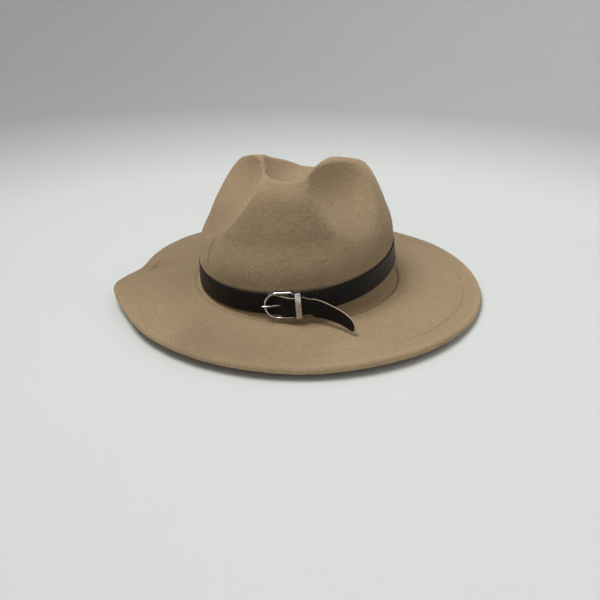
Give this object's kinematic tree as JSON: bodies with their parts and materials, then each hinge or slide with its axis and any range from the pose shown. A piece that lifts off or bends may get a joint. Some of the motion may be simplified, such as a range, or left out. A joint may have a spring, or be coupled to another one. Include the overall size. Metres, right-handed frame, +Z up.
{
  "type": "wide-brim felt hat",
  "caption": "Wide-brim felt hat with a centre-creased, pinched crown, turned-under wired brim, sweatband and a narrow buckled strap round the crown.",
  "frame": {"origin": "centre of the head opening, on the plane the brim rests on", "axes": "+Z up out of the crown; -Y towards the front of the hat, where the pinches and the buckle are; +X towards the wearer's left; Z = 0 on the flat ring under the brim edge"},
  "size_m": [0.32, 0.348, 0.1195],
  "materials": {
    "wool_felt": "brushed wool felt, camel tan",
    "spring_wire": "drawn spring steel",
    "ferrule_metal": "crimped tube",
    "hem_thread": "tan sewing thread",
    "sweatband_cloth": "woven polyester, satin",
    "base_thread": "tan sewing thread",
    "cord": "braided cord",
    "label_satin": "white satin, blank",
    "strap_leather": "black grained faux leather, pale cut edge",
    "strap_thread": "black sewing thread",
    "buckle_chrome": "polished plate"
  },
  "bodies": {
    "hat": {"felt_body": "wool_felt", "brim_wire": "spring_wire", "wire_ferrule": "ferrule_metal", "hem_stitching": "hem_thread", "sweatband": "sweatband_cloth", "sweatband_stitching": "base_thread", "sizing_cord": "cord", "size_label": "label_satin"},
    "belt": {"belt_strap": "strap_leather", "fold_stitching": "strap_thread"},
    "buckle": {"buckle_frame": "buckle_chrome"},
    "prong": {"buckle_prong": "buckle_chrome"},
    "keeper": {"keeper_loop": "buckle_chrome"},
    "tail": {"belt_tail": "strap_leather"}
  },
  "joints": [
    {"name": "belt_lift", "type": "slide", "parent": "hat", "child": "belt", "axis": [0, 0, 1], "range_m": [0, 0.11]},
    {"name": "buckle_tilt", "type": "hinge", "parent": "belt", "child": "buckle", "pos_m": [0.0171, -0.10375, 0.02345], "axis": [-0.0839, 0.0498, 0.9952], "range_deg": [0, 4]},
    {"name": "prong_pivot", "type": "hinge", "parent": "buckle", "child": "prong", "pos_m": [0.0171, -0.10375, 0.02345], "axis": [-0.0839, 0.0498, 0.9952], "range_deg": [0, 4]},
    {"name": "keeper_slide", "type": "slide", "parent": "belt", "child": "keeper", "axis": [0.9585, 0.2707, 0.0889], "range_m": [0, 0.004]},
    {"name": "tail_lift", "type": "hinge", "parent": "belt", "child": "tail", "pos_m": [0.03094, -0.10241, 0.02503], "axis": [0.1173, -0.0371, -0.9924], "range_deg": [0, 60]}
  ]
}
